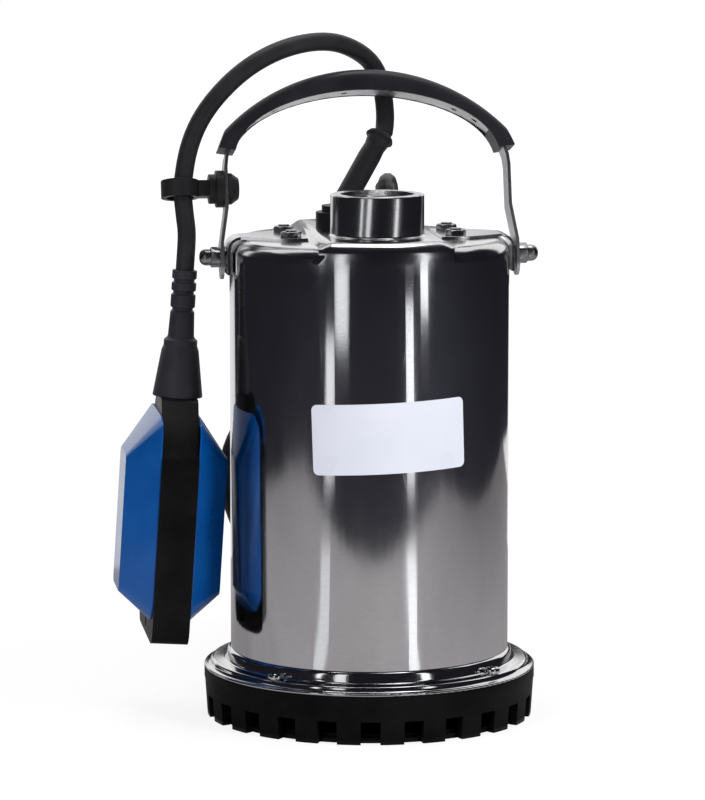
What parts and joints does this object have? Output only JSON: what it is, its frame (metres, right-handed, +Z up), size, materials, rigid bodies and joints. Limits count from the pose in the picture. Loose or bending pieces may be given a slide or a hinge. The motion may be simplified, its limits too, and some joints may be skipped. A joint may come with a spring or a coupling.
{
  "type": "submersible sump pump",
  "caption": "Upright steel submersible pump with a toothed strainer base, threaded top outlet, bail handle, clipped float switch and a wound mains lead.",
  "frame": {"origin": "centre of the base on the floor", "axes": "+Z up the pump axis, the outlet towards -Y, the handle's hinge along X, the float towards -X"},
  "size_m": [0.2305, 0.329, 0.3686],
  "materials": {
    "stainless": "polished",
    "bright_steel": "satin",
    "black_plastic": "satin",
    "black_rubber": "matte",
    "blue_plastic": "satin",
    "cast_iron": "matte",
    "copper": "varnished",
    "white_plastic": "matte",
    "brass": "nickel-plated"
  },
  "bodies": {
    "housing": {"jacket": "stainless", "flange_ring": "stainless", "outlet_socket": "stainless", "bracket_left": "stainless", "bracket_right": "stainless", "bracket_studs": "bright_steel", "bracket_nuts": "bright_steel", "pivot_bolts": "bright_steel", "pivot_washers": "bright_steel", "cap_nuts": "stainless", "flange_screws": "bright_steel", "strainer_base": "black_plastic", "bottom_plate": "black_plastic", "plate_screws": "bright_steel", "diffuser": "black_plastic", "seal_plate": "cast_iron", "shaft_seal": "bright_steel", "motor_can": "stainless", "stator": "cast_iron", "windings": "copper", "lower_bearing": "bright_steel", "upper_bearing": "bright_steel", "upper_bracket": "cast_iron", "capacitor": "white_plastic", "can_seals": "black_rubber", "motor_head": "cast_iron", "float_gland": "black_plastic", "float_sleeve": "black_rubber", "power_gland": "black_plastic", "power_sleeve": "black_rubber", "float_cable": "black_rubber", "power_cord_run": "black_rubber", "power_cord_coil": "black_rubber", "plug_lead": "black_rubber", "coil_tie": "black_plastic", "mains_plug": "black_plastic", "plug_pins": "brass", "plug_earth": "brass"},
    "handle": {"handle_strap": "stainless", "grip": "black_rubber", "cable_clip": "black_plastic", "clip_plug": "black_plastic", "clip_cable": "black_rubber"},
    "float": {"float_tail": "black_rubber", "float_boot": "black_rubber", "float_frame": "black_plastic", "float_shell_outer": "blue_plastic", "float_shell_inner": "blue_plastic", "switch_capsule": "white_plastic"},
    "ball": {"switch_ball": "bright_steel"},
    "rotor": {"shaft": "bright_steel", "rotor_core": "cast_iron", "impeller": "black_plastic", "impeller_nut": "bright_steel"}
  },
  "joints": [
    {"name": "handle_fold", "type": "hinge", "parent": "housing", "child": "handle", "pos_m": [0, 0, 0.2504], "axis": [1, 0, 0], "range_deg": [0, 80]},
    {"name": "float_swing", "type": "hinge", "parent": "handle", "child": "float", "pos_m": [-0.0978, 0.00958, 0.26214], "axis": [0, 1, 0], "range_deg": [0, 90]},
    {"name": "ball_roll", "type": "slide", "parent": "float", "child": "ball", "axis": [0.0645, 0, 0.9979], "range_m": [0, 0.009]},
    {"name": "rotor_spin", "type": "hinge", "parent": "housing", "child": "rotor", "pos_m": [0, 0, 0.1], "axis": [0, 0, 1], "continuous": true}
  ]
}
